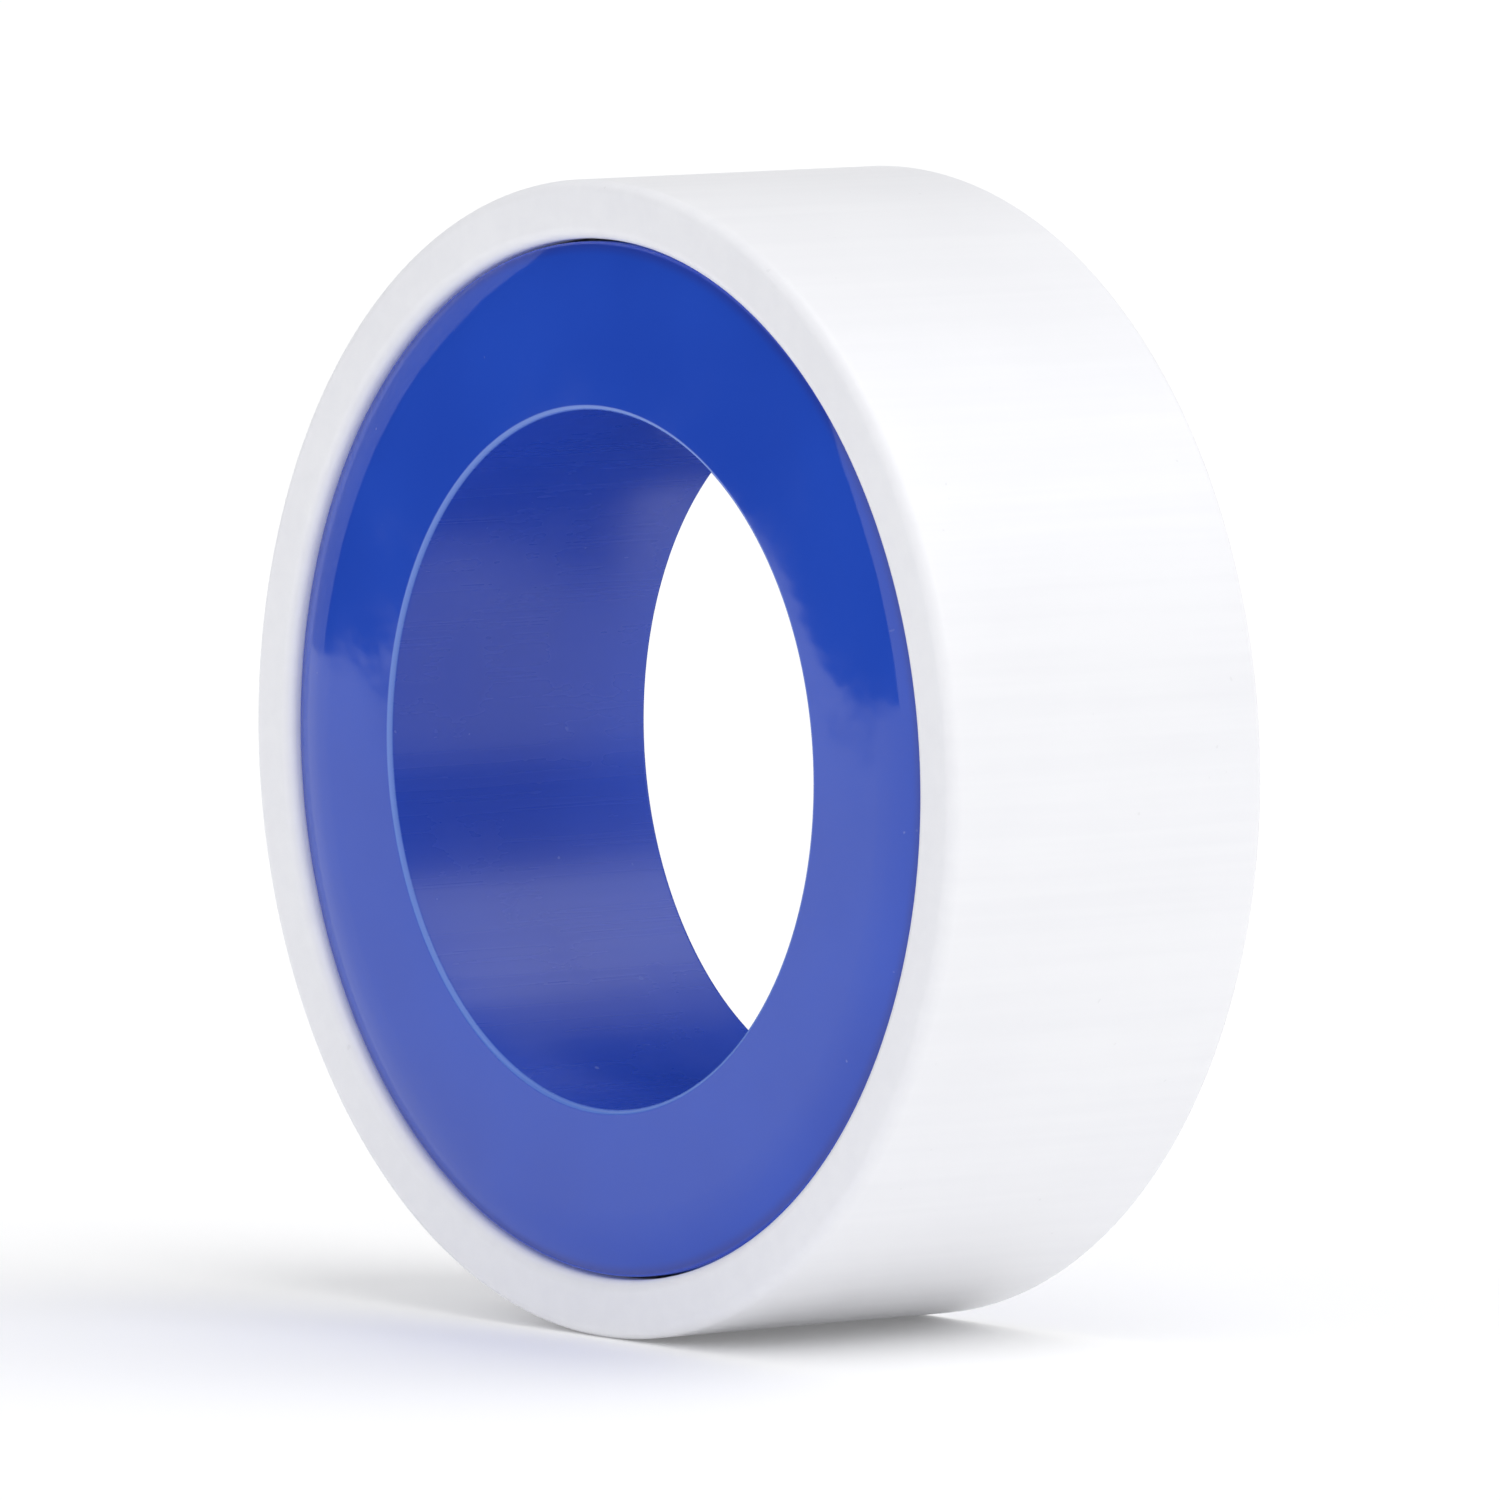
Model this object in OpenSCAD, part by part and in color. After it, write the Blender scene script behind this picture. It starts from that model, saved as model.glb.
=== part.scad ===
// Thread seal tape roll: a white moulded shell, a blue spool that turns in it and
// pulls out of it, and the tape that is wound on the spool.
// Millimetres. The roll stands on its rim, its axis lies along Y, and the spool's
// flange faces -Y. The origin is the centre of the shell. The roll is sized by the
// tape that it holds: the bore and the tape's length set its diameter, and the
// tape's width sets its own.

/* [Tape] */
// Width of the tape
tape_width = 12.7; // [9:0.1:26]
// Thickness of the tape
tape_thickness = 0.075; // [0.05:0.005:0.2]
// Length of tape on a full roll
tape_length = 10000; // [3000:500:20000]

/* [Spool] */
// Diameter of the bore through the hub
bore_d = 33.8; // [20:0.2:45]
// Thickness of the hub's wall
hub_wall = 1.5; // [1.3:0.1:2.5]
// Thickness of the wall of the hub's reduced end
spigot_wall = 1; // [0.6:0.1:1.2]
// Thickness of the flange
flange_thickness = 1.3; // [0.9:0.1:2.5]
// How far the flange reaches past the wound tape
flange_margin = 0.9; // [0.3:0.1:3]
// Width of the flange's margin, whose face slopes back
slope_width = 3; // [1:0.1:4]
// How far the margin's face has dropped back at the flange's edge
slope_drop = 0.5; // [0.1:0.05:0.6]
// Edge radius at both mouths of the bore
bore_round = 0.25; // [0.1:0.05:0.3]
// Edge radius round the back of the flange and round the hub's end
spool_round = 0.2; // [0.1:0.05:0.25]

/* [Shell] */
// Width of the white ring that shows round the flange
rim_width = 2.85; // [2:0.05:5]
// How far the inside of the rim runs on behind the flange
rim_behind = 0.45; // [0.2:0.05:2]
// Thickness of the shell's round wall behind the rim
shell_wall = 1.4; // [0.9:0.1:1.8]
// Thickness of the web that closes the back
web_thickness = 1.3; // [0.9:0.1:2.5]
// How far the wall runs on past the web, as a skirt
skirt_depth = 2.95; // [1:0.05:8]
// Edge radius round the outside of the rim
rim_round = 0.65; // [0.2:0.05:1]
// Edge radius round the inside of the rim
rim_inner_round = 0.6; // [0.1:0.05:0.8]
// Edge radius round the outside and the inside of the skirt
skirt_round = 0.35; // [0.1:0.05:0.4]
// Edge radius round the hole in the web
web_hole_round = 0.2; // [0.1:0.05:0.4]
// Radius in the corners between wall and web
web_fillet = 0.7; // [0.2:0.1:0.9]

/* [Fits] */
// How far the flange's face sits inside the rim
flange_recess = 0.15; // [0.1:0.05:2]
// Radial gap between the flange and the rim
flange_gap = 0.15; // [0.1:0.05:0.6]
// Radial gap between the hub's reduced end and the hole in the web
spigot_gap = 0.1; // [0.05:0.01:0.2]
// Gap between the hub's shoulder and the web that it seats on
seat_gap = 0.05; // [0.02:0.01:0.1]
// Gap beside the tape, to the flange and to the web
tape_side_gap = 0.2; // [0.1:0.05:0.5]
// Radial gap between the tape and the hub
tape_bore_gap = 0.1; // [0.05:0.01:0.2]

/* [Hidden] */
$fn = 96;

// Radii, from the bore outwards
bore_r = bore_d / 2;
hub_r = bore_r + hub_wall;
spigot_r = bore_r + spigot_wall;
web_hole_r = spigot_r + spigot_gap;
tape_bore_r = hub_r + tape_bore_gap;
// The wound tape's outer radius, to a hundredth, from the area of its edge
tape_r = round(100 * sqrt(pow(tape_bore_r, 2) + tape_length * tape_thickness / PI)) / 100;
flange_r = tape_r + flange_margin;
rim_r = flange_r + flange_gap;
shell_r = rim_r + rim_width;
wall_r = shell_r - shell_wall;

// Places along the axis, from the rim's face backwards
shell_width = flange_recess + flange_thickness + 2 * tape_side_gap + tape_width
    + web_thickness + skirt_depth;
rim_face = shell_width / 2;
flange_face = rim_face - flange_recess;
flange_back = flange_face - flange_thickness;
rim_back = flange_back - rim_behind;
tape_front = flange_back - tape_side_gap;
tape_back = tape_front - tape_width;
web_front = tape_back - tape_side_gap;
hub_shoulder = web_front + seat_gap;
web_back = web_front - web_thickness;
back_face = -rim_face;

// Where the tape's cut end lies on the roll, and the step of its last turn
tape_end_angle = 40;
wrap_step = 2;

// How far a cutting shape reaches past what it cuts
over = 1;

// Turns a shape made along Z onto the roll's axis, so that its top faces -Y
module on_roll_axis() {
    rotate([90, 0, 0]) children();
}

// Rectangle between any two opposite corners
module area(a, b) {
    translate([min(a.x, b.x), min(a.y, b.y)])
        square([abs(b.x - a.x), abs(b.y - a.y)]);
}

// What a radius takes off a profile, or off the space that is cut from one: corner
// is the sharp point, and into is the pair of signs that leads from it inwards
module corner_cut(corner, into, radius) {
    middle = corner + radius * into;
    difference() {
        area(middle, corner - over * into);
        translate(middle) circle(radius);
    }
}

// The space inside the shell, in front of the web: the rim stands inwards from the
// wall and slopes back to it
module front_space() {
    slope_back = rim_back - (wall_r - rim_r);
    inside = web_hole_r - over;
    difference() {
        polygon([
            [inside, web_front],
            [wall_r, web_front],
            [wall_r, slope_back],
            [rim_r, rim_back],
            [rim_r, rim_face + over],
            [inside, rim_face + over]
        ]);
        corner_cut([wall_r, web_front], [-1, 1], web_fillet);
    }
}

// The space behind the web, inside the skirt
module back_space() {
    difference() {
        area([web_hole_r - over, back_face - over], [wall_r, web_back]);
        corner_cut([wall_r, web_back], [-1, -1], web_fillet);
    }
}

module shell_profile() {
    difference() {
        area([web_hole_r, back_face], [shell_r, rim_face]);
        front_space();
        back_space();
        corner_cut([shell_r, rim_face], [-1, -1], rim_round);
        corner_cut([rim_r, rim_face], [1, -1], rim_inner_round);
        corner_cut([shell_r, back_face], [-1, 1], skirt_round);
        corner_cut([wall_r, back_face], [1, 1], skirt_round);
        corner_cut([web_hole_r, web_front], [1, -1], web_hole_round);
        corner_cut([web_hole_r, web_back], [1, 1], web_hole_round);
    }
}

// The flange with its sloping margin, the hub, and the hub's reduced end
module spool_profile() {
    difference() {
        polygon([
            [bore_r, flange_face],
            [flange_r - slope_width, flange_face],
            [flange_r, flange_face - slope_drop],
            [flange_r, flange_back],
            [hub_r, flange_back],
            [hub_r, hub_shoulder],
            [spigot_r, hub_shoulder],
            [spigot_r, web_back],
            [bore_r, web_back]
        ]);
        corner_cut([bore_r, flange_face], [1, -1], bore_round);
        corner_cut([bore_r, web_back], [1, 1], bore_round);
        corner_cut([flange_r, flange_back], [-1, 1], spool_round);
        corner_cut([spigot_r, web_back], [-1, 1], spool_round);
        corner_cut([hub_r, hub_shoulder], [-1, 1], spool_round);
    }
}

// The last turn of the tape climbs by one thickness to the cut end
function wrap_radius(turned) = tape_r - tape_thickness * (1 - turned / 360);

module tape_outline() {
    polygon([
        for (turned = [0 : wrap_step : 360])
            wrap_radius(turned) * [cos(tape_end_angle + turned), sin(tape_end_angle + turned)]
    ]);
}

module shell() {
    color("whitesmoke")
        on_roll_axis()
            rotate_extrude() shell_profile();
}

module spool() {
    color("royalblue")
        on_roll_axis()
            rotate_extrude() spool_profile();
}

module tape() {
    color("white")
        on_roll_axis()
            translate([0, 0, tape_back])
                difference() {
                    linear_extrude(tape_width) tape_outline();
                    translate([0, 0, -over]) cylinder(r = tape_bore_r, h = tape_width + 2 * over);
                }
}

shell();
spool();
tape();
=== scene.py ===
import math

import bmesh
import bpy
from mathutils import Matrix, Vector


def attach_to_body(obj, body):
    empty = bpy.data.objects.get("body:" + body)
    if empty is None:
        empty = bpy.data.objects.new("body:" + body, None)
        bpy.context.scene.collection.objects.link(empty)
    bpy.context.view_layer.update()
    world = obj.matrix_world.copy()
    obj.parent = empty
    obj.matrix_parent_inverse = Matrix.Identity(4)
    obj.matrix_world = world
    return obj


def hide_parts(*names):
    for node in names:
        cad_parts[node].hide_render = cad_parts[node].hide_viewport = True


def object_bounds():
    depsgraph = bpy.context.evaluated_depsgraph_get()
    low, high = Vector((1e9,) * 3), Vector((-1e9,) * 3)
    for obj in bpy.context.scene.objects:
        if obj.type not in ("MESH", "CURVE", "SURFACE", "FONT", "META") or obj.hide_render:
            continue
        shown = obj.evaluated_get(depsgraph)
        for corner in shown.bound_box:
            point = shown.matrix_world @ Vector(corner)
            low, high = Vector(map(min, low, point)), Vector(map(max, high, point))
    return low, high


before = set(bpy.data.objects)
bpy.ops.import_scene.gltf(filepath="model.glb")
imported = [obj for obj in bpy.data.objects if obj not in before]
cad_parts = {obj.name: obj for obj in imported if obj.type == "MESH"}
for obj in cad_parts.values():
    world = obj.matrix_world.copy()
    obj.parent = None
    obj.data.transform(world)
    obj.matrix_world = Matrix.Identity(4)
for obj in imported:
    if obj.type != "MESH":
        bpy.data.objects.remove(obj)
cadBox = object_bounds()
mm = 0.001

scene = bpy.context.scene
scene.view_settings.view_transform = "Standard"


class Wire:
    # a socket that takes part in sums, and the one way to add a node
    def __init__(self, tree, socket=None):
        self.tree = tree
        self.socket = socket

    def node(self, kind, settings=None, values=None, out=0):
        made = self.tree.nodes.new(kind)
        for key, value in (settings or {}).items():
            setattr(made, key, value)
        for key, value in (values or {}).items():
            if isinstance(value, Wire):
                self.tree.links.new(value.socket, made.inputs[key])
            else:
                made.inputs[key].default_value = value
        return Wire(self.tree, made.outputs[out] if made.outputs else None)

    def math(self, operation, a, b):
        return self.node("ShaderNodeMath", {"operation": operation}, {0: a, 1: b})

    def __add__(self, other):
        return self.math("ADD", self, other)

    def __radd__(self, other):
        return self.math("ADD", other, self)

    def __sub__(self, other):
        return self.math("SUBTRACT", self, other)

    def __rsub__(self, other):
        return self.math("SUBTRACT", other, self)

    def __mul__(self, other):
        return self.math("MULTIPLY", self, other)

    def __rmul__(self, other):
        return self.math("MULTIPLY", other, self)


def grey(level):
    return (level, level, level, 1)


def startFinish(name):
    material = bpy.data.materials.new(name)
    material.use_nodes = True
    material.node_tree.nodes.clear()
    material.cycles.emission_sampling = "NONE"  # its glow is too faint to be a lamp
    return material, Wire(material.node_tree)


def endFinish(start, values):
    shader = start.node("ShaderNodeBsdfPrincipled", None, values)
    start.node("ShaderNodeOutputMaterial", None, {"Surface": shader})


def grain(spot, scale, detail=2.0, roughness=0.5):
    # noise whose grain is set along each axis, in grains per metre
    spread = spot.node("ShaderNodeVectorMath", {"operation": "MULTIPLY"}, {0: spot, 1: scale})
    return spot.node("ShaderNodeTexNoise", {"noise_dimensions": "3D"},
                     {"Vector": spread, "Scale": 1.0, "Detail": detail, "Roughness": roughness}, "Fac")


def between(wire, low, high, start=0.0, end=1.0):
    return wire.node("ShaderNodeMapRange", {"interpolation_type": "SMOOTHSTEP"},
                     {"Value": wire, "From Min": low, "From Max": high, "To Min": start, "To Max": end})


def fromEdge(wire, edge, reach, start, end):
    # fades from start to end between two distances from an edge, in mm
    low, high = (edge * mm + distance * mm for distance in reach)
    return between(wire, low, high, start, end)


def mixed(factor, a, b):
    # 6, 7 and 2 are the Mix node's colour sockets
    return factor.node("ShaderNodeMix", {"data_type": "RGBA"}, {0: factor, 6: a, 7: b}, 2)


def along(spot, axis):
    return spot.node("ShaderNodeSeparateXYZ", None, {"Vector": spot}, axis)


def axisDistance(spot):
    flat = spot.node("ShaderNodeVectorMath", {"operation": "MULTIPLY"}, {0: spot, 1: (1, 0, 1)})
    return spot.node("ShaderNodeVectorMath", {"operation": "LENGTH"}, {0: flat}, "Value")


def bumped(height, strength, distance):
    return height.node("ShaderNodeBump", None,
                       {"Height": height, "Strength": strength, "Distance": distance})


def roundedOutline(corners, arcStep=7.0):
    # corners are (radius, height, edge radius) in mm, in order; each becomes an arc with a point
    # about every arcStep degrees
    points = []
    for i, (radius, height, edge) in enumerate(corners):
        here = Vector((radius, height))
        back = (Vector(corners[i - 1][:2]) - here).normalized()
        ahead = (Vector(corners[(i + 1) % len(corners)][:2]) - here).normalized()
        half = back.angle(ahead) / 2
        turn = math.pi - 2 * half
        reach = edge / math.tan(half)
        middle = here + (back + ahead).normalized() * (edge / math.sin(half))
        first = here + back * reach - middle
        steps = max(2, round(math.degrees(turn) / arcStep))
        way = 1 if back.x * ahead.y - back.y * ahead.x < 0 else -1
        for k in range(steps + 1):
            a = way * turn * k / steps
            points.append((middle.x + first.x * math.cos(a) - first.y * math.sin(a),
                           middle.y + first.x * math.sin(a) + first.y * math.cos(a)))
    return points


def finished(name, mesh, material, sharpAngle):
    mesh.materials.clear()
    mesh.materials.append(material)
    mesh.shade_smooth()
    mesh.set_sharp_from_angle(angle=math.radians(sharpAngle))
    piece = bpy.data.objects.new(name, mesh)
    scene.collection.objects.link(piece)
    return piece


def revolved(name, outline, steps, material, sharpAngle):
    # turns an outline round the roll's axis; heights count from the middle towards the flange, -Y
    rings = bmesh.new()
    turns = [2 * math.pi * k / steps for k in range(steps)]
    grid = [[rings.verts.new((radius * math.cos(a) * mm, -height * mm, radius * math.sin(a) * mm))
             for a in turns] for radius, height in outline]
    for i in range(len(outline)):
        for k in range(steps):
            n = (k + 1) % steps
            rings.faces.new((grid[i - 1][k], grid[i - 1][n], grid[i][n], grid[i][k]))
    bmesh.ops.recalc_face_normals(rings, faces=rings.faces)
    mesh = bpy.data.meshes.new(name)
    rings.to_mesh(mesh)
    rings.free()
    return finished(name, mesh, material, sharpAngle)


def startTree(name, sizes, counts):
    # a node group with a named input for each size and each count
    tree = bpy.data.node_groups.new(name, "GeometryNodeTree")
    for labels, kind in ((sizes, "NodeSocketFloat"), (counts, "NodeSocketInt")):
        for label in labels:
            tree.interface.new_socket(label, in_out="INPUT", socket_type=kind)
    tree.interface.new_socket("Geometry", in_out="OUTPUT", socket_type="NodeSocketGeometry")
    entry = tree.nodes.new("NodeGroupInput")
    return Wire(tree), {label: Wire(tree, entry.outputs[label]) for label in (*sizes, *counts)}


def endTree(start, geometry, material):
    real = start.node("GeometryNodeRealizeInstances", None, {"Geometry": geometry})
    painted = start.node("GeometryNodeSetMaterial", None, {"Geometry": real, "Material": material})
    start.node("NodeGroupOutput", None, {"Geometry": painted})
    return start.tree


def plainMesh(name, tree, settings):
    # evaluates a tree once and keeps the result as an ordinary mesh
    carrier = bpy.data.objects.new(name + "Maker", bpy.data.meshes.new(name + "Maker"))
    scene.collection.objects.link(carrier)
    modifier = carrier.modifiers.new("maker", "NODES")
    modifier.node_group = tree
    for item in tree.interface.items_tree:
        if item.in_out == "INPUT":
            modifier[item.identifier] = settings[item.name]
    bpy.context.view_layer.update()
    made = carrier.evaluated_get(bpy.context.evaluated_depsgraph_get())
    mesh = bpy.data.meshes.new_from_object(made)
    carrier.modifiers.remove(modifier)
    bpy.data.objects.remove(carrier)
    mesh.name = name
    return mesh


def attach(piece, body, node=None):
    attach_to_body(piece, body)
    if node:
        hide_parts(node)


# the white case: rim, wall, web and skirt, in mm
shell = {
    "outerRadius": 28.0, "rimRadius": 25.15, "wallRadius": 26.6, "holeRadius": 18.0,
    "front": 9.4, "rimBack": 7.5, "webFront": -5.15, "webBack": -6.45, "back": -9.4,
    "rimEdge": 0.65, "rimInnerEdge": 0.6, "rimBackEdge": 0.4, "slopeCorner": 0.5,
    "skirtEdge": 0.35, "webCorner": 0.7, "holeEdge": 0.2, "steps": 288, "sharpAngle": 28.0,
    "whites": ((0.848, 0.85, 0.876, 1), (0.878, 0.88, 0.902, 1)), "dust": (0.6, 0.6, 0.61, 1),
    # painted glow for the groove round the flange
    "glow": (0.045, 0.047, 0.06, 1), "glowReach": (0.05, 0.25), "glowDepth": (2.0, 2.4),
}


def finishShell():
    # satin white moulded plastic: draw marks along the axis, faint clouds, a little dust;
    # a painted glow in the groove round the flange stands in for light that soaks through the rim
    material, start = startFinish("shellWhite")
    spot = start.node("ShaderNodeTexCoord", out="Object")
    draw = grain(spot, (1100, 26, 1100), 3.0, 0.6)
    clouds = grain(spot, (70, 70, 70), 3.0)
    fine = grain(spot, (5200, 5200, 5200))
    dust = between(grain(spot, (1900, 1900, 1900), 1.0), 0.79, 0.82)
    tone = between(0.55 * clouds + 0.45 * draw, 0.34, 0.66)
    inside = fromEdge(axisDistance(spot), shell["rimRadius"], shell["glowReach"], 1.0, 0.0)
    # painted glow: emission that brightens the groove round the flange
    paintedGroove = inside * fromEdge(along(spot, "Y"), -shell["front"], shell["glowDepth"], 1.0, 0.0)
    endFinish(start, {
        "Base Color": mixed(dust * 0.2, mixed(tone, *shell["whites"]), shell["dust"]),
        "Roughness": 0.27 + 0.10 * clouds + 0.08 * draw + 0.2 * dust,
        "Subsurface Weight": 0.12,
        "Subsurface Radius": (1.0, 1.0, 1.0),
        "Subsurface Scale": 1.2 * mm,
        "Emission Color": mixed(paintedGroove, grey(0.0), shell["glow"]),
        "Emission Strength": 1.0,
        "Normal": bumped(0.6 * draw + 0.4 * fine, 0.10, 0.06 * mm),
    })
    return material


shellWhite = finishShell()
rimSlopeBack = shell["rimBack"] - (shell["wallRadius"] - shell["rimRadius"])
shellPiece = revolved("shellCase", roundedOutline([
    (shell["rimRadius"], shell["front"], shell["rimInnerEdge"]),
    (shell["outerRadius"], shell["front"], shell["rimEdge"]),
    (shell["outerRadius"], shell["back"], shell["skirtEdge"]),
    (shell["wallRadius"], shell["back"], shell["skirtEdge"]),
    (shell["wallRadius"], shell["webBack"], shell["webCorner"]),
    (shell["holeRadius"], shell["webBack"], shell["holeEdge"]),
    (shell["holeRadius"], shell["webFront"], shell["holeEdge"]),
    (shell["wallRadius"], shell["webFront"], shell["webCorner"]),
    (shell["wallRadius"], rimSlopeBack, shell["slopeCorner"]),
    (shell["rimRadius"], shell["rimBack"], shell["rimBackEdge"]),
]), shell["steps"], shellWhite, shell["sharpAngle"])
attach(shellPiece, "shell", "shell")
print("shell case made:", len(shellPiece.data.polygons), "faces")

# the blue spool, in mm: flange with a margin that falls away, hub, and the hub's end in the web
spool = {
    "boreRadius": 16.9, "hubRadius": 18.4, "endRadius": 17.9, "flangeRadius": 25.0,
    "face": 9.25, "flangeBack": 7.95, "shoulder": -5.1, "end": -6.45,
    "marginWidth": 3.0, "marginDrop": 0.5, "marginBend": 6.0, "marginSteps": 3,
    "boreEdge": 0.25, "edge": 0.2, "hubCorner": 0.08, "endCorner": 0.06,
    "steps": 288, "sharpAngle": 28.0,
    "blues": ((0.0165, 0.066, 0.475, 1), (0.0190, 0.075, 0.515, 1)), "dust": (0.25, 0.32, 0.62, 1),
    # painted shade in the bore, a painted highlight on its front edge, painted shade in the groove and a
    # painted glow on the flange's edge
    "paintedBoreShade": (0.012, 0.044, 0.41, 1), "boreReach": (0.02, 0.15),
    "paintedEdgeHighlight": (0.15, 0.27, 0.70, 1), "highlightReach": (0.18, 0.26), "highlightDepth": (0.15, 0.25),
    "paintedGrooveShade": (0.028, 0.040, 0.25, 1), "grooveShadeReach": (-0.7, 0.0),
    "glow": (0.009, 0.026, 0.16, 1), "glowReach": (-0.2, -0.03),
}


def finishSpool():
    # glossy blue moulded plastic: slow waviness, draw marks in the bore, rubbed spots and dust;
    # a painted highlight on the rounded front edge of the bore, painted shade in the bore and in the
    # groove round the flange, and a painted glow on the flange's edge for light that soaks through it
    material, start = startFinish("spoolBlue")
    spot = start.node("ShaderNodeTexCoord", out="Object")
    radius = axisDistance(spot)
    inBore = fromEdge(radius, spool["boreRadius"], spool["boreReach"], 1.0, 0.0)
    atFront = fromEdge(along(spot, "Y"), -spool["face"], spool["highlightDepth"], 1.0, 0.0)
    boreEdge = atFront * fromEdge(radius, spool["boreRadius"], spool["highlightReach"], 1.0, 0.0)
    paintedGroove = fromEdge(radius, spool["flangeRadius"], spool["grooveShadeReach"], 0.0, 1.0)
    # painted glow on the flange's edge, standing in for light that soaks through the flange
    paintedGlowEdge = fromEdge(radius, spool["flangeRadius"], spool["glowReach"], 0.0, 1.0)
    waves = grain(spot, (95, 95, 95), 2.0, 0.45)
    ripple = grain(spot, (330, 330, 330))
    draw = grain(spot, (900, 16, 900), 3.0, 0.62)
    rubbed = between(grain(spot, (120, 120, 120), 4.0, 0.6), 0.5, 0.72)
    dust = between(grain(spot, (1500, 1500, 1500), 1.0), 0.785, 0.815)
    colour = mixed(between(waves, 0.3, 0.7), *spool["blues"])
    # painted shade: the bore's blue is darkened a little
    colour = mixed(inBore * 0.25, colour, spool["paintedBoreShade"])
    # painted highlight: a paler blue on the rounded front edge of the bore
    colour = mixed(boreEdge * 0.8, colour, spool["paintedEdgeHighlight"])
    # painted shade: a darker blue in the groove round the flange
    colour = mixed(paintedGroove * 0.6, colour, spool["paintedGrooveShade"])
    endFinish(start, {
        "Base Color": mixed(dust * 0.25, colour, spool["dust"]),
        "Roughness": 0.05 + 0.06 * rubbed + inBore * (0.16 + 0.12 * draw) + 0.25 * dust,
        "IOR": 1.54,
        "Emission Color": mixed(paintedGlowEdge, grey(0.0), spool["glow"]),
        "Emission Strength": 1.0,
        "Normal": bumped(0.8 * waves + 0.12 * ripple + inBore * draw * 0.10, 0.5, 0.1 * mm),
    })
    return material


spoolBlue = finishSpool()
flatRadius = spool["flangeRadius"] - spool["marginWidth"]
margin = [(flatRadius + spool["marginWidth"] * t, spool["face"] - spool["marginDrop"] * t * t,
           spool["marginBend"]) for t in (k / spool["marginSteps"] for k in range(spool["marginSteps"]))]
spoolPiece = revolved("spoolMoulding", roundedOutline([
    (spool["boreRadius"], spool["face"], spool["boreEdge"]),
    *margin,
    (spool["flangeRadius"], spool["face"] - spool["marginDrop"], spool["edge"]),
    (spool["flangeRadius"], spool["flangeBack"], spool["edge"]),
    (spool["hubRadius"], spool["flangeBack"], spool["hubCorner"]),
    (spool["hubRadius"], spool["shoulder"], spool["edge"]),
    (spool["endRadius"], spool["shoulder"], spool["endCorner"]),
    (spool["endRadius"], spool["end"], spool["edge"]),
    (spool["boreRadius"], spool["end"], spool["boreEdge"]),
]), spool["steps"], spoolBlue, spool["sharpAngle"])
attach(spoolPiece, "spool", "spool")
print("spool made:", len(spoolPiece.data.polygons), "faces")

# the wound tape, in mm: one flat spiral from the hub to the cut end
tape = {
    "innerRadius": 18.5, "outerRadius": 24.08, "width": 12.7, "middle": 1.4,
    "pitch": 0.075, "film": 0.064, "pointsPerTurn": 110, "edgeWander": 0.07, "wanderRate": 0.83,
    "tailLength": 9.0, "tailLift": 0.35, "endAngle": 40.0, "seed": 4, "sharpAngle": 35.0,
    "whites": ((0.77, 0.77, 0.765, 1), (0.86, 0.86, 0.855, 1)),
}


def finishTape():
    # matt white film: fine lines along its length, and a soft bloom
    material, start = startFinish("tapeWhite")
    spot = start.node("ShaderNodeTexCoord", out="Object")
    lines = grain(spot, (30, 6500, 30), 3.0, 0.6)
    bloom = grain(spot, (260, 260, 260), 3.0)
    tone = between(0.6 * bloom + 0.4 * lines, 0.3, 0.7)
    endFinish(start, {
        "Base Color": mixed(tone, *tape["whites"]),
        "Roughness": 0.52 + 0.16 * bloom,
        "Normal": bumped(0.7 * lines + 0.3 * bloom, 0.2, 0.08 * mm),
    })
    return material


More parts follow.
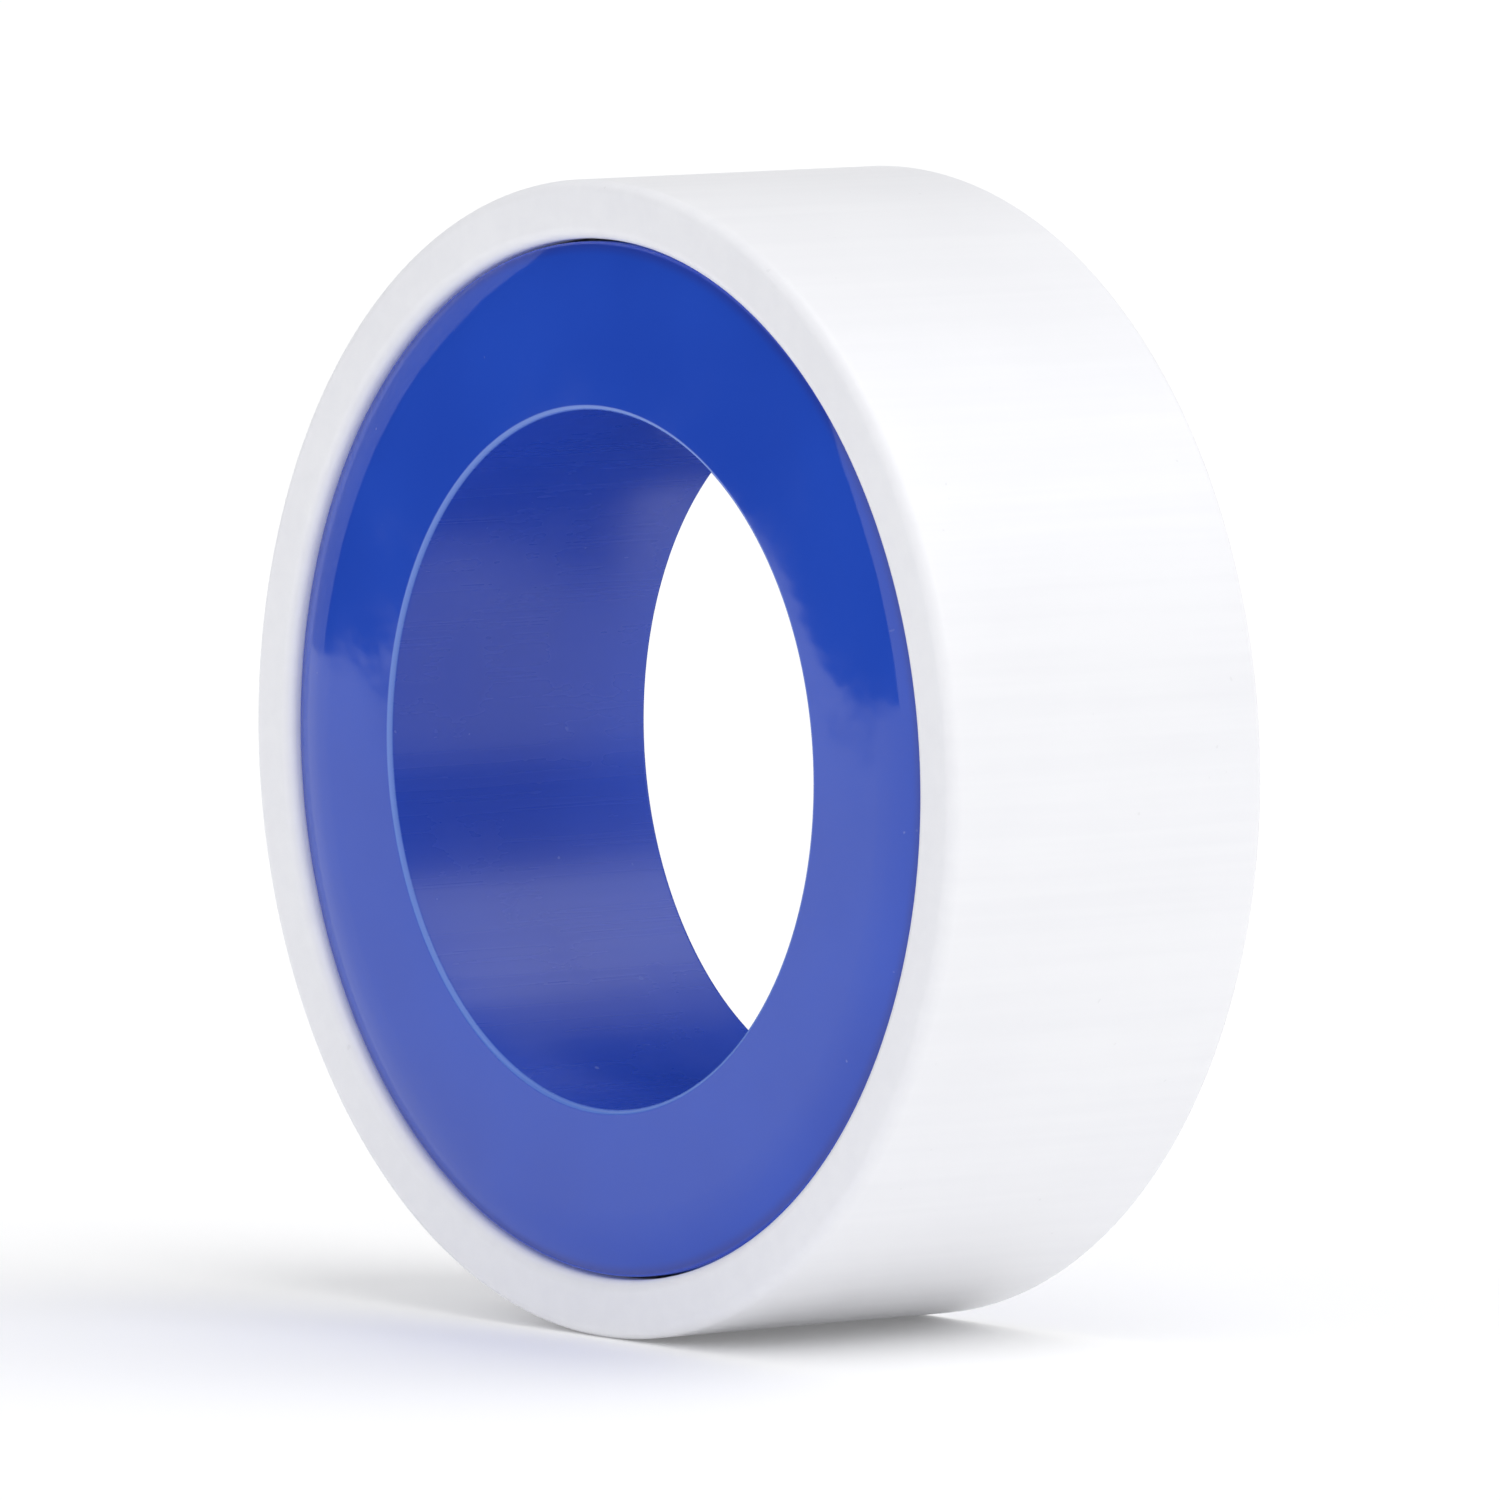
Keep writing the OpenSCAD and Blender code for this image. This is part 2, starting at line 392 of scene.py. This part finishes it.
def tapeTree(material):
    start, given = startTree("tapeWinding", [
        "Turns", "Inner Radius", "Outer Radius", "Film Width", "Film Thickness", "Edge Wander",
        "Wander Rate", "Tail Length", "Tail Lift", "Start Angle", "Middle", "Seed"], ["Points"])
    spiral = start.node("GeometryNodeCurveSpiral", None, {
        "Resolution": given["Points"], "Rotations": given["Turns"], "Height": 0.0, "Reverse": True,
        "Start Radius": given["Inner Radius"], "End Radius": given["Outer Radius"]})
    factor = start.node("GeometryNodeSplineParameter", out="Factor")
    length = start.node("GeometryNodeSplineParameter", out="Length")
    total = start.node("GeometryNodeSplineLength", out="Length")
    # the film's edge wanders a little from turn to turn
    place = factor * given["Turns"] * given["Wander Rate"] + given["Seed"]
    wander = start.node("ShaderNodeTexNoise", {"noise_dimensions": "1D"},
                        {"W": place, "Scale": 1.0, "Detail": 2.0}, "Fac")
    aside = start.node("ShaderNodeCombineXYZ", None, {"Z": (wander - 0.5) * given["Edge Wander"]})
    # the cut end stands off the turn below
    nearEnd = start.node("ShaderNodeMapRange", None, {
        "Value": total - length, "From Max": given["Tail Length"], "To Min": 1.0, "To Max": 0.0})
    outward = start.node("ShaderNodeVectorMath", {"operation": "NORMALIZE"},
                         {0: start.node("GeometryNodeInputPosition")})
    lift = start.node("ShaderNodeVectorMath", {"operation": "SCALE"},
                      {0: outward, "Scale": nearEnd * nearEnd * given["Tail Lift"]})
    offset = start.node("ShaderNodeVectorMath", {"operation": "ADD"}, {0: lift, 1: aside})
    moved = start.node("GeometryNodeSetPosition", None, {"Geometry": spiral, "Offset": offset})
    level = start.node("GeometryNodeSetCurveNormal", {"mode": "Z_UP"}, {"Curve": moved})
    section = start.node("GeometryNodeCurvePrimitiveQuadrilateral", {"mode": "RECTANGLE"},
                         {"Width": given["Film Thickness"], "Height": given["Film Width"]})
    film = start.node("GeometryNodeCurveToMesh", None,
                      {"Curve": level, "Profile Curve": section, "Fill Caps": True})
    angle = start.node("ShaderNodeCombineXYZ", None, {"Z": given["Start Angle"]})
    spun = start.node("GeometryNodeTransform", None, {"Geometry": film, "Rotation": angle})
    # made flat, then stood up on the roll's axis
    laid = start.node("GeometryNodeTransform", None, {
        "Geometry": spun, "Rotation": (math.pi / 2, 0, 0),
        "Translation": start.node("ShaderNodeCombineXYZ", None, {"Y": 0.0 - given["Middle"]})})
    return endTree(start, laid, material)


tapeWhite = finishTape()
turnCount = (tape["outerRadius"] - tape["innerRadius"]) / tape["pitch"]
tapePiece = finished("tapeWound", plainMesh("tapeWound", tapeTree(tapeWhite), {
    "Turns": turnCount,
    "Inner Radius": (tape["innerRadius"] + tape["pitch"] / 2) * mm,
    "Outer Radius": (tape["outerRadius"] - tape["pitch"] / 2) * mm,
    "Film Width": (tape["width"] - tape["edgeWander"]) * mm,
    "Film Thickness": tape["film"] * mm,
    "Edge Wander": tape["edgeWander"] * mm,
    "Wander Rate": tape["wanderRate"],
    "Tail Length": tape["tailLength"] * mm,
    "Tail Lift": tape["tailLift"] * mm,
    "Start Angle": math.radians(tape["endAngle"] - 360 * turnCount),
    "Middle": tape["middle"] * mm,
    "Seed": float(tape["seed"]),
    "Points": tape["pointsPerTurn"],
}), tapeWhite, tape["sharpAngle"])
attach(tapePiece, "tape", "tape")
print("tape wound:", round(turnCount, 1), "turns,", len(tapePiece.data.polygons), "faces")

# moulding marks on the back of the web, in mm: pin marks, and gate stubs between them
webMarks = {
    "circleRadius": 22.1, "seat": 0.05, "turn": 17.0, "studSides": 28, "sharpAngle": 28.0,
    "pins": 6, "pinRadius": 1.15, "pinHeight": 0.07, "pinTaper": 0.93,
    "gates": 3, "gateRadius": 0.42, "gateHeight": 0.32, "gateTaper": 0.7, "gateTurn": 30.0,
}


def marksTree(material):
    start, given = startTree("webMarks", [
        "Circle Radius", "Back", "Turn", "Pin Radius", "Pin Height", "Pin Taper",
        "Gate Radius", "Gate Height", "Gate Taper", "Gate Turn"], ["Pins", "Gates", "Stud Sides"])

    def ring(mark, turn):
        # low studs with sloping sides, evenly round a circle
        circle = start.node("GeometryNodeMeshCircle", None,
                            {"Vertices": given[mark + "s"], "Radius": given["Circle Radius"]})
        angle = start.node("ShaderNodeCombineXYZ", None, {"Z": turn})
        spun = start.node("GeometryNodeTransform", None, {"Geometry": circle, "Rotation": angle})
        radius = given[mark + " Radius"]
        stud = start.node("GeometryNodeMeshCone", None, {
            "Vertices": given["Stud Sides"], "Depth": given[mark + " Height"],
            "Radius Top": radius * given[mark + " Taper"], "Radius Bottom": radius})
        return start.node("GeometryNodeInstanceOnPoints", None, {"Points": spun, "Instance": stud})

    both = start.node("GeometryNodeJoinGeometry")
    for marks in (ring("Pin", given["Turn"]), ring("Gate", given["Turn"] + given["Gate Turn"])):
        start.tree.links.new(marks.socket, both.socket.node.inputs["Geometry"])
    # made flat, then turned to face +Y
    laid = start.node("GeometryNodeTransform", None, {
        "Geometry": both, "Rotation": (-math.pi / 2, 0, 0),
        "Translation": start.node("ShaderNodeCombineXYZ", None, {"Y": given["Back"]})})
    return endTree(start, laid, material)


marksPiece = finished("webMarks", plainMesh("webMarks", marksTree(shellWhite), {
    "Circle Radius": webMarks["circleRadius"] * mm,
    "Back": (-shell["webBack"] - webMarks["seat"]) * mm,
    "Turn": math.radians(webMarks["turn"]),
    "Pin Radius": webMarks["pinRadius"] * mm,
    "Pin Height": (webMarks["pinHeight"] + webMarks["seat"]) * mm,
    "Pin Taper": webMarks["pinTaper"],
    "Gate Radius": webMarks["gateRadius"] * mm,
    "Gate Height": (webMarks["gateHeight"] + webMarks["seat"]) * mm,
    "Gate Taper": webMarks["gateTaper"],
    "Gate Turn": math.radians(webMarks["gateTurn"]),
    "Pins": webMarks["pins"],
    "Gates": webMarks["gates"],
    "Stud Sides": webMarks["studSides"],
}), shellWhite, webMarks["sharpAngle"])
attach(marksPiece, "shell")
print("web marks made:", len(marksPiece.data.polygons), "faces")

# floor, sky and sun; the floor in metres
studio = {
    "floorHalf": 12.0, "floorTone": 0.98, "floorGlow": 0.07,
    "horizon": 1.0, "overhead": 0.54, "front": (0.82, 0.827, 0.868, 1),
    "horizonBand": (0.02, 0.3), "frontBand": (-0.9, -0.1),
    "sunStrength": 1.40, "sunFrom": (0.48, 0.20, 0.854), "sunSoftness": 70.0,
}


def stagePiece(name, corners, faces, material):
    mesh = bpy.data.meshes.new(name)
    mesh.from_pydata(corners, [], faces)
    mesh.materials.append(material)
    made = bpy.data.objects.new(name, mesh)
    scene.collection.objects.link(made)
    return made


floorWhite, start = startFinish("floorWhite")
endFinish(start, {"Base Color": grey(studio["floorTone"]), "Roughness": 0.9, "Specular IOR Level": 0.0,
                  "Emission Color": grey(1.0), "Emission Strength": studio["floorGlow"]})
half, ground = studio["floorHalf"], cadBox[0][2]
corners = [(x, y, ground) for x, y in ((-half, -half), (half, -half), (half, half), (-half, half))]
stagePiece("floor", corners, [(0, 1, 2, 3)], floorWhite)

# painted reflections: dark and grey sheets that show only in gloss, in mm: two before the flange and
# three beyond the bore, with the heights of foot and top and the line on the floor that each one follows
reflectionSheets = (
    {"tone": 0.015, "foot": -28, "top": 360,
     "line": ((-434, -231), (-336, -242), (-279, -229), (-272, -238), (-420, -786))},
    {"tone": 0.45, "foot": -28, "top": 360,
     "line": ((-655, 23), (-646, -85), (-601, -154), (-434, -231))},
    {"tone": 0.015, "foot": 4, "top": 84, "line": ((114, 49), (77, 97))},
    {"tone": 0.015, "foot": -28, "top": 7, "line": ((-60, 10.5), (-16, 10.5), (-16, 60))},
    {"tone": 0.015, "foot": -28, "top": -5, "line": ((-60, 15), (-5, 15))},
)


# painted reflection: a sheet that is seen only in gloss
def hangReflectionSheet(name, reflectionSheet):
    material, start = startFinish(name)
    endFinish(start, {"Base Color": grey(reflectionSheet["tone"]), "Roughness": 1.0, "Specular IOR Level": 0.0})
    count = len(reflectionSheet["line"])
    corners = [(x * mm, y * mm, z * mm) for z in (reflectionSheet["foot"], reflectionSheet["top"])
               for x, y in reflectionSheet["line"]]
    faces = [(k, k + 1, count + k + 1, count + k) for k in range(count - 1)]
    made = stagePiece(name, corners, faces, material)
    made.visible_camera = False
    made.visible_diffuse = False
    made.visible_transmission = False
    made.visible_shadow = False


for number, reflectionSheet in enumerate(reflectionSheets):
    hangReflectionSheet("curtain%d" % number, reflectionSheet)

# a sky that is white low down, darker overhead and lighter towards -Y
world = bpy.data.worlds.new("studio")
scene.world = world
world.use_nodes = True
world.node_tree.nodes.clear()
sky = Wire(world.node_tree)
toward = sky.node("ShaderNodeTexCoord", out="Generated")
dome = mixed(between(along(toward, "Y"), *studio["frontBand"]), studio["front"], grey(studio["overhead"]))
skyColour = mixed(between(along(toward, "Z"), *studio["horizonBand"]), grey(studio["horizon"]), dome)
glow = sky.node("ShaderNodeBackground", None, {"Color": skyColour, "Strength": 1.0})
sky.node("ShaderNodeOutputWorld", None, {"Surface": glow})

sun = bpy.data.lights.new("key", "SUN")
sun.energy = studio["sunStrength"]
sun.angle = math.radians(studio["sunSoftness"])
key = bpy.data.objects.new("key", sun)
key.rotation_euler = Vector(studio["sunFrom"]).to_track_quat("Z", "Y").to_euler()
scene.collection.objects.link(key)

# the photograph's view: a long lens, a little above the roll's middle; metres, and the sensor in mm
view = {
    "azimuth": 52.6, "elevation": 5.0, "distance": 1.008, "frameHeight": 0.0727,
    "sensorWidth": 36.0, "clip": (0.05, 60.0),
}
azimuth, elevation = math.radians(view["azimuth"]), math.radians(view["elevation"])
towardLens = Vector((math.sin(azimuth) * math.cos(elevation), -math.cos(azimuth) * math.cos(elevation),
                     math.sin(elevation)))
lens = bpy.data.cameras.new("photo")
lens.sensor_fit = "AUTO"
lens.sensor_width = view["sensorWidth"]
lens.lens = lens.sensor_width * view["distance"] / view["frameHeight"]
lens.clip_start, lens.clip_end = view["clip"]
camera = bpy.data.objects.new("photo", lens)
camera.location = towardLens * view["distance"]
camera.rotation_euler = towardLens.to_track_quat("Z", "Y").to_euler()
scene.collection.objects.link(camera)
scene.camera = camera
print("studio set")

bpy.context.view_layer.update()
